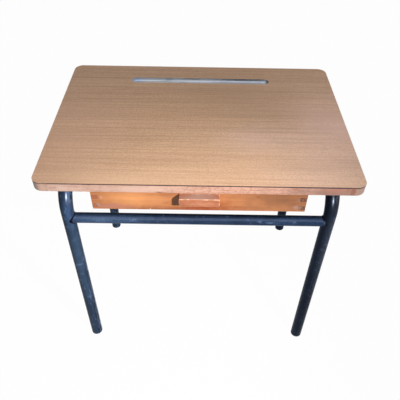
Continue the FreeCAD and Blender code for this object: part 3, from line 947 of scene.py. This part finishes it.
    def tray(self) -> None:
        """Build the trough that lines the pen groove."""
        shape = self.groove(self.tray_low)
        depth = self.tray_rim - self.tray_low
        top = pulled(shape, shape.faces[:], (0, 0, depth))
        lower = [e for e in sharp_edges(shape) if all(v.co.z < self.tray_low + NEAR for v in e.verts)]
        soften(shape, lower, self.tray_bend + self.tray_wall, steps=5)
        bmesh.ops.inset_region(shape, faces=top, thickness=self.tray_wall, use_even_offset=True)
        bottom = pulled(shape, top, (0, 0, self.tray_wall - depth))
        bmesh.ops.delete(shape, geom=top, context="FACES_ONLY")
        soften(shape, [e for f in bottom for e in f.edges], self.tray_bend, steps=5)
        finish = PressedAluminium("Aluminium, pressed and dull", "B6BABF", "666A72")
        settle(shape, "pressed_tray", finish, "pen_tray")

    def build(self) -> None:
        """Build the whole top."""
        self.laminate()
        self.lipping()
        self.tray()
        chips = PressedBoard("Particle board, pressed chips", "B58F66", "8E6A45", 3.0, 0.6)
        dress(["top_core"], chips, self.core_arris)
        sheet = PressedBoard("Balancing sheet, smooth brown", "8A6A4C", "76583D", 1.6, 0.35)
        dress(["top_backing"], sheet, self.backing_arris)


@dataclass
class TubeFrame:
    """Two tubes bent to an inverted U, and the crossbars welded between them.

    Attributes:
        leg_x, leg_y: Where the legs stand.
        radius, bar_radius: The tubes' outside radii.
        bend: The bends' radius.
        wall: The thickness of both tubes' walls.
        oval: How much wider, and flatter, the tube is where bending squeezed it.
        foot, rail, bar: The levels of the tubes' ends, of the top rails and of the crossbars.
        bead, bead_start, bead_growth: The weld bead's thickness, the share of it that the bead
            starts with, and how much it grows while it is rippled.
        ripples, ripple: The number of its ripples, and how far they swell it as a share.
        waves, wave: The same for the slow waves that an unsteady hand leaves.
        around, steps: The edges round a tube, and the rings in a bend.
        bead_around, bead_steps: The edges round a bead, and its rings.
        lug_arris, foot_arris: The softening of the lugs and of the plugs in the feet.
    """

    leg_x: float = 299.0
    leg_y: float = 216.0
    radius: float = 15.0
    bar_radius: float = 12.5
    bend: float = 80.0
    wall: float = 1.5
    oval: float = 0.06
    foot: float = 2.5
    rail: float = 582.0
    bar: float = 485.0
    bead: float = 2.0
    bead_start: float = 0.95
    bead_growth: float = 1.05
    ripples: int = 22
    ripple: float = 0.1
    waves: int = 5
    wave: float = 0.06
    around: int = 48
    steps: int = 16
    bead_around: int = 12
    bead_steps: int = 132
    lug_arris: float = 0.4
    foot_arris: float = 0.3

    def hollow(self, shape: Shape, inner: Shape, axis: int) -> Shape:
        """Close the gap between an outer and an inner skin at both ends.

        Args:
            shape: The outer skin.
            inner: The inner skin, which is freed.
            axis: 0 or 1 where the ends are apart along X or Y.

        Returns:
            The tube.
        """
        joined(shape, inner)
        for end in ENDS.values():
            rims = [e for e in shape.edges if e.is_boundary and e.verts[0].co[axis] * end > 0]
            bmesh.ops.bridge_loops(shape, edges=rims)
        return shape

    def bent_skin(self, x: float, radius: float) -> Shape:
        """Make a skin of one bent tube, from the front foot over to the rear foot.

        Args:
            x: Where the tube stands.
            radius: The skin's radius.

        Returns:
            The skin, open at both feet.
        """
        shape = bmesh.new()
        bmesh.ops.create_circle(shape, cap_ends=False, segments=self.around, radius=radius,
                                matrix=Matrix.Translation((x, -self.leg_y, self.foot)))
        bend_low = self.rail - self.bend
        flat = self.leg_y - self.bend

        def drawn(ring: list, offset: Triple) -> list:
            """Draw a straight run from a ring of edges.

            Args:
                ring: The edges.
                offset: Where the run's end lies from them.

            Returns:
                The ring at its end.
            """
            made = bmesh.ops.extrude_edge_only(shape, edges=ring)["geom"]
            bmesh.ops.translate(shape, vec=offset, verts=only(made, Vert))
            return [e for e in only(made, Edge) if all(v in made for v in e.verts)]

        def bent(ring: list, centre: Triple) -> list:
            """Turn a ring of edges through a quarter bend, and return the ring at its end."""
            made = bmesh.ops.spin(shape, geom=ring, cent=centre, axis=(1, 0, 0), angle=-math.pi / 2,
                                  steps=self.steps, use_duplicate=False)
            return only(made["geom_last"], Edge)

        ring = drawn(shape.edges[:], (0, 0, bend_low - self.foot))
        ring = bent(ring, (x, -flat, bend_low))
        ring = drawn(ring, (0, 2 * flat, 0))
        ring = bent(ring, (x, flat, bend_low))
        drawn(ring, (0, 0, self.foot - bend_low))
        for vert in shape.verts:
            arm = Vector((abs(vert.co.y) - flat, vert.co.z - bend_low))
            if min(arm) > 0:
                flatter = self.oval * math.sin(2 * math.atan2(arm.y, arm.x))
                arm *= 1 - flatter * (arm.length - self.bend) / arm.length
                vert.co = (x + (vert.co.x - x) * (1 + flatter), math.copysign(flat + arm.x, vert.co.y),
                           bend_low + arm.y)
        return shape

    def side_frame(self, place: str, side: int) -> None:
        """Build one bent tube.

        Args:
            place: The side's name.
            side: -1 for left or 1 for right.
        """
        x = side * self.leg_x
        shape = self.hollow(self.bent_skin(x, self.radius), self.bent_skin(x, self.radius - self.wall), 1)
        finish = Enamel(f"Enamel on bent tube, {place}", side * 5.0, 0.45 - side * 0.15)
        settle(shape, f"bent_tube_{place}", finish, f"side_frame_{place}")

    def reach(self, y: float) -> float:
        """Return how far from the leg's axis, along X, its surface is at an offset along Y."""
        return math.sqrt(self.radius ** 2 - min(abs(y), self.radius) ** 2)

    def coped_skin(self, radius: float) -> Shape:
        """Make a skin of a crossbar.

        Args:
            radius: The skin's radius.

        Returns:
            The skin, with open ends that follow the legs' surface.
        """
        shape = bmesh.new()
        bmesh.ops.create_cone(shape, cap_ends=False, segments=self.around, radius1=radius, radius2=radius,
                              depth=2 * self.leg_x, matrix=Matrix.Rotation(math.pi / 2, 4, "Y"))
        for vert in shape.verts:
            vert.co.x -= math.copysign(self.reach(vert.co.y), vert.co.x)
        return shape

    def crossbar(self, place: str, end: int) -> None:
        """Build one crossbar, coped to the two legs.

        Args:
            place: The end's name.
            end: -1 for front or 1 for rear.
        """
        shape = self.hollow(self.coped_skin(self.bar_radius), self.coped_skin(self.bar_radius - self.wall), 0)
        bmesh.ops.translate(shape, vec=(0, end * self.leg_y, self.bar), verts=shape.verts)
        finish = Enamel(f"Enamel on crossbar, {place}", end * 9.0, 0.6)
        settle(shape, f"cross_tube_{place}", finish, f"{place}_crossbar")

    def weld_bead(self, side: int, end: int) -> Shape:
        """Make the rippled bead round one end of a crossbar.

        Args:
            side: -1 for left or 1 for right.
            end: -1 for front or 1 for rear.

        Returns:
            The bead.
        """
        bead = bmesh.new()
        bmesh.ops.create_circle(bead, cap_ends=False, segments=self.bead_around,
                                radius=self.bead * self.bead_start)
        bmesh.ops.translate(bead, vec=(0, self.bar_radius, 0), verts=bead.verts)
        bmesh.ops.spin(bead, geom=bead.edges[:], cent=(0, 0, 0), axis=(1, 0, 0), angle=2 * math.pi,
                       steps=self.bead_steps, use_merge=True)
        bmesh.ops.remove_doubles(bead, verts=bead.verts, dist=MERGE)
        for vert in bead.verts:
            angle = math.atan2(vert.co.z, vert.co.y)
            ripple = self.ripple * math.cos(self.ripples * angle)
            swell = 1 + ripple + self.wave * math.sin(self.waves * angle + side)
            centre = Vector((0, vert.co.y, vert.co.z)).normalized() * self.bar_radius
            vert.co = centre + (vert.co - centre) * swell * self.bead_growth
            vert.co.x += side * (self.leg_x - self.reach(vert.co.y))
        bmesh.ops.translate(bead, vec=(0, end * self.leg_y, self.bar), verts=bead.verts)
        return bead

    def build(self) -> None:
        """Build the frame, and dress its lugs and feet."""
        for place, side in SIDES.items():
            self.side_frame(place, side)
        for place, end in ENDS.items():
            self.crossbar(place, end)
        beads = bmesh.new()
        for side in SIDES.values():
            for end in ENDS.values():
                joined(beads, self.weld_bead(side, end))
        # the beads' enamel is nearly black: painted shade of the crevice where each bar meets its leg
        shade_dark_bead_enamel = Enamel("Enamel on weld beads", 3.0, 0.3, "1A1820", "100F14", "3A3438")
        settle(beads, "rippled_welds", shade_dark_bead_enamel, "weld_beads")
        corners = [f"{end}_{side}" for end in ENDS for side in SIDES]
        enamel = Enamel("Enamel on lugs", 7.0, 0.5)
        dress(["fixing_lug_" + corner for corner in corners], enamel, self.lug_arris)
        plastic = MouldedPlastic("Polyethylene, moulded black", "20242C", "4A505A")
        dress(["foot_glide_" + corner for corner in corners], plastic, self.foot_arris)


@dataclass
class Drawer:
    """The finger-jointed drawer and its block pull.

    Attributes:
        pull_width, pull_height, pull_projection: The pull's size.
        pull_level: The height of the pull's middle.
        front_y: The face of the front board.
        pull_arris: The rounding of the pull.
        joint_gap: The softening of the boards' edges, which shows the joints as fine lines.
        bottom_arris: The softening of the bottom.
        dip, dip_x, dip_reach: The hollow that a thumb wore in the pull: its depth, place and half width.
        sag, sag_wave: How far the pull's face is worn back in the middle, and how fast that ends.
        worn_back: How far back from the pull's face the wear reaches.
        cuts: The rings of points along the pull that the wear moves.
    """

    pull_width: float = 88.0
    pull_height: float = 22.0
    pull_projection: float = 19.0
    pull_level: float = 567.5
    front_y: float = -230.0
    pull_arris: float = 2.2
    joint_gap: float = 0.35
    bottom_arris: float = 0.15
    dip: float = 0.35
    dip_x: float = -10.0
    dip_reach: float = 9.0
    sag: float = 0.25
    sag_wave: float = 0.045
    worn_back: float = 1.5
    cuts: int = 15

    def board(self, node: str, name: str, finish: SolidWood) -> None:
        """Build one board on its CAD solid, with softened edges.

        Args:
            node: The CAD node.
            name: The piece's name.
            finish: Its finish.
        """
        shape = copy_of(node)
        soften(shape, sharp_edges(shape), self.joint_gap, steps=2)
        settle(shape, name, finish, node, Body.DRAWER)

    def boards(self) -> None:
        """Build the front, sides and back."""
        front = SolidWood("Alder, varnished, front board", Grain.X, "C6804F", "A0623A", "8A502E", "98694C",
                          band=11, run=190, contrast=0.55, worn="E8B48C", block=block_of("drawer_front"),
                          wear=0.5, roughness=0.38, coat=0.15, seed=2.0)
        self.board("drawer_front", "jointed_front", front)
        for place, end, seed in (("left", "AA6042", 6.0), ("right", "5C3830", 7.0)):
            node = f"drawer_side_{place}"
            side = SolidWood(f"Alder, varnished, {place} side board", Grain.Y, end=end, worn="C89C7C",
                             block=block_of(node), seed=seed)
            self.board(node, f"jointed_side_{place}", side)
        back = SolidWood("Alder, planed, back board", Grain.X, block=block_of("drawer_back"), seed=9.0)
        self.board("drawer_back", "jointed_back", back)

    def pull(self) -> None:
        """Build the block pull, slightly hollowed where it is held."""
        shape = bmesh.new()
        bmesh.ops.create_cube(shape, size=1.0)
        size = (self.pull_width, self.pull_projection, self.pull_height)
        bmesh.ops.scale(shape, vec=size, verts=shape.verts)
        centre = Vector((0, self.front_y - self.pull_projection / 2, self.pull_level))
        bmesh.ops.translate(shape, vec=centre, verts=shape.verts)
        free = [e for e in shape.edges if not all(v.co.y > self.front_y - NEAR for v in e.verts)]
        soften(shape, free, self.pull_arris, steps=4)
        long_edges = [e for e in shape.edges if abs(e.verts[0].co.x - e.verts[1].co.x) > self.pull_width / 2]
        bmesh.ops.subdivide_edges(shape, edges=long_edges, cuts=self.cuts, use_grid_fill=True)
        worn_y = self.front_y - self.pull_projection + self.worn_back
        for vert in shape.verts:
            if vert.co.y < worn_y and vert.co.z > self.pull_level:
                dip = math.exp(-((vert.co.x - self.dip_x) / self.dip_reach) ** 2) * self.dip
                vert.co.y += dip + max(math.cos(vert.co.x * self.sag_wave) * self.sag, 0)
                vert.co.z -= dip
        finish = SolidWood("Alder, varnished, block pull", Grain.X, "B36F4C", "965638", "84472E", "865844",
                           band=5, run=60, contrast=0.45, worn="E2BCA2", block=block_of("drawer_pull"),
                           wear=3.0, roughness=0.4, seed=12.0)
        settle(shape, "block_pull", finish, "drawer_pull", Body.DRAWER)

    def build(self) -> None:
        """Build the drawer, and dress its bottom."""
        self.boards()
        self.pull()
        hardboard = PressedBoard("Hardboard, pressed fibres", "8C6243", "73502F", 1.8, 0.4)
        dress(["drawer_bottom"], hardboard, self.bottom_arris)


@dataclass
class Runners:
    """The battens that carry the drawer, and every screw and nail.

    Attributes:
        arris, screw_arris: The softening of the battens and of the screws and nails.
    """

    arris: float = 0.8
    screw_arris: float = 0.12

    def build(self) -> None:
        """Dress the battens and the fasteners."""
        wood = SolidWood("Beech, planed, runners", Grain.Y, "C79A6C", "A67A4E", "94683F", "A88058", band=8,
                         run=140, roughness=0.6, coat=0.0, seed=15.0)
        dress(["runner_left", "runner_right"], wood, self.arris)
        steel = PlatedSteel("Steel, zinc plated", "8F8B84", "5C5148")
        dress(["lug_screws", "runner_screws", "pull_screws", "drawer_bottom_nails"], steel, self.screw_arris)


@dataclass(frozen=True)
class Lamp:
    """A lamp of the studio.

    Attributes:
        name: Its name.
        colour: Its colour.
        place: Where it stands.
        aim: The point that it looks at.
        power: Its power in watts.
        size: The radius of a spot or the width of a round panel, in metres.
        cone: The angle of a spot's cone in degrees, or 0 for a panel.
        pieces: The only pieces that it lights, or none for all.
        spared: Whether it lights everything but those pieces instead.
        diffuse: Whether it lights the surface itself.
        glossy: Whether it shines in the surface.
    """

    name: str
    colour: str
    place: Triple
    aim: Triple
    power: float
    size: float
    cone: float = 0.0
    pieces: tuple[str, ...] = ()
    spared: bool = False
    diffuse: bool = True
    glossy: bool = True

    def add(self) -> None:
        """Put the lamp in the scene."""
        data = bpy.data.lights.new(self.name, "SPOT" if self.cone else "AREA")
        data.energy, data.color = self.power, linear(self.colour)[:3]
        if self.cone:
            data.shadow_soft_size = self.size
            data.spot_size, data.spot_blend = math.radians(self.cone), 1.0
        else:
            data.shape, data.size = "DISK", self.size
        lamp = bpy.data.objects.new(self.name, data)
        lamp.location = Vector(self.place) * MM
        lamp.rotation_euler = (Vector(self.aim) - Vector(self.place)).to_track_quat("-Z", "Y").to_euler()
        lamp.visible_diffuse, lamp.visible_glossy = self.diffuse, self.glossy
        bpy.context.scene.collection.objects.link(lamp)
        if self.pieces:
            linked = bpy.data.collections.new(f"{self.name} pieces")
            for name in self.pieces:
                linked.objects.link(bpy.data.objects[name])
            for member in linked.collection_objects:
                member.light_linking.link_state = "EXCLUDE" if self.spared else "INCLUDE"
            lamp.light_linking.receiver_collection = linked


LEFT_TUBE, RIGHT_TUBE, CROSSBAR = ("bent_tube_left",), ("bent_tube_right",), ("cross_tube_front",)
FROM_FRONT = ((470, -2280, 1256), (0, -225, 543))
LAMPS = (
    # casts the shadows
    Lamp("Key", "FAFCFF", (850, -1250, 1383), (196, -660, 620), 240.0, 0.05, 44.0, RIGHT_TUBE + CROSSBAR,
         spared=True, glossy=False),
    # from the right on the right tube, and from in front on the crossbar
    Lamp("Edge", "FFDCC6", (1100, -700, 700), (299, -216, 440), 64.0, 0.2, 36.0, RIGHT_TUBE),
    Lamp("Bar", "E6EEFF", (-350, -1900, 900), (0, -228, 485), 38.0, 0.5, 0.0, CROSSBAR),
    # broad above the desk, and cool over the right of its top
    Lamp("Overhead", "FAFAFF", (350, -150, 2300), (100, 0, 620), 13.0, 1.2),
    Lamp("Skylight", "C2D7FF", (500, -500, 1600), (290, -100, 620), 36.0, 0.2, 25.0),
    # only shine in the tubes' enamel
    Lamp("Left glint", "D0E0FF", *FROM_FRONT, 1900.0, 0.4, 0.0, LEFT_TUBE, diffuse=False),
    Lamp("Left sheen", "D0E0FF", (1500, -900, 700), (-299, -216, 540), 1100.0, 2.0, 0.0, LEFT_TUBE,
         diffuse=False),
    Lamp("Right glint", "D0E0FF", *FROM_FRONT, 950.0, 0.4, 0.0, RIGHT_TUBE, diffuse=False),
    Lamp("Bar glint", "D0E0FF", (0, -2300, 2643), (0, -228, 485), 1000.0, 3.2, 0.0, CROSSBAR, diffuse=False),
)


@dataclass
class Studio:
    """The floor, the light from all round and the camera at the photograph's viewpoint.

    Attributes:
        eye: The camera's place.
        pitch, yaw, roll: Its angles in degrees: down, to the right and about its line of sight.
        lens: Its focal length on a 36 mm sensor.
        floor_size: The floor's width in metres.
        floor_white: The share of white in what the floor shows, beside its faint shadow.
        sky: The strength of the light from all round.
    """

    eye: Triple = (-3.9, -972.45, 1269.53)
    pitch: float = 43.706
    yaw: float = 0.452
    roll: float = -1.174
    lens: float = 42.489
    floor_size: float = 14.0
    floor_white: float = 0.98
    sky: float = 0.17

    def camera(self) -> None:
        """Set up the camera."""
        pitch, yaw, roll = (math.radians(angle) for angle in (self.pitch, self.yaw, self.roll))
        ahead = Vector((math.sin(yaw) * math.cos(pitch), math.cos(yaw) * math.cos(pitch), -math.sin(pitch)))
        right = Vector((math.cos(yaw), -math.sin(yaw), 0))
        down = ahead.cross(right)
        across = right * math.cos(roll) + down * math.sin(roll)
        below = down * math.cos(roll) - right * math.sin(roll)
        data = bpy.data.cameras.new("Camera")
        data.lens, data.sensor_width, data.sensor_fit = self.lens, 36.0, "HORIZONTAL"
        data.clip_end = 100.0
        camera = bpy.data.objects.new("Camera", data)
        turn = Matrix((across, -below, -ahead)).transposed().to_4x4()
        camera.matrix_world = Matrix.Translation(Vector(self.eye) * MM) @ turn
        bpy.context.scene.collection.objects.link(camera)
        bpy.context.scene.camera = camera

    def seen(self, tree: bpy.types.NodeTree) -> Socket:
        """Make a mask of the rays from the camera, a reflection or through glass.

        Args:
            tree: The tree that takes its nodes.

        Returns:
            The mask.
        """
        camera, glossy, through = (add_node(tree, "LightPath", out=f"Is {kind} Ray")
                                   for kind in ("Camera", "Glossy", "Transmission"))
        pair = add_node(tree, "Math", {0: camera, 1: glossy}, operation="MAXIMUM")
        return add_node(tree, "Math", {0: pair, 1: through}, operation="MAXIMUM")

    def sky_light(self) -> None:
        """Light the desk evenly from a white surround."""
        world = bpy.data.worlds.new("Surround")
        bpy.context.scene.world = world
        world.use_nodes = True
        tree = world.node_tree
        strength = add_node(tree, "MapRange", {"Value": self.seen(tree), "To Min": self.sky, "To Max": 1.0})
        tree.links.new(strength, tree.nodes["Background"].inputs["Strength"])
        tree.nodes["Background"].inputs["Color"].default_value = linear("FFFFFF")

    def floor(self) -> None:
        """Lay a pale floor that keeps a faint shadow of the desk."""
        shape = plate(self.floor_size, self.floor_size)
        mesh = bpy.data.meshes.new("Floor")
        shape.to_mesh(mesh)
        shape.free()
        floor = bpy.data.objects.new("Floor", mesh)
        bpy.context.scene.collection.objects.link(floor)
        material = bpy.data.materials.new("Pale matt floor")
        material.use_nodes = True
        tree = material.node_tree
        shader = tree.nodes["Principled BSDF"]
        pale = {"Base Color": linear("C0C0C0"), "Roughness": 0.9, "Specular IOR Level": 0.1}
        for name, value in pale.items():
            shader.inputs[name].default_value = value
        white = add_node(tree, "Emission", {"Color": linear("FFFFFF"), "Strength": 1.0})
        share = add_node(tree, "MapRange", {"Value": self.seen(tree), "To Max": self.floor_white})
        mixed = add_node(tree, "MixShader", {0: share, 1: shader.outputs[0], 2: white})
        tree.links.new(mixed, tree.nodes["Material Output"].inputs["Surface"])
        mesh.materials.append(material)

    def build(self) -> None:
        """Set up everything round the desk."""
        self.camera()
        for lamp in LAMPS:
            lamp.add()
        self.sky_light()
        self.floor()
        bpy.context.scene.view_settings.view_transform = "Standard"


def main() -> None:
    """Build the desk and the studio, and report each part."""
    logging.basicConfig(level=logging.INFO, format="%(name)s: %(message)s")
    for part in (DeskTop(), TubeFrame(), Drawer(), Runners(), Studio()):
        part.build()
        log.info("%s built", type(part).__name__)


if __name__ == "__main__":
    main()
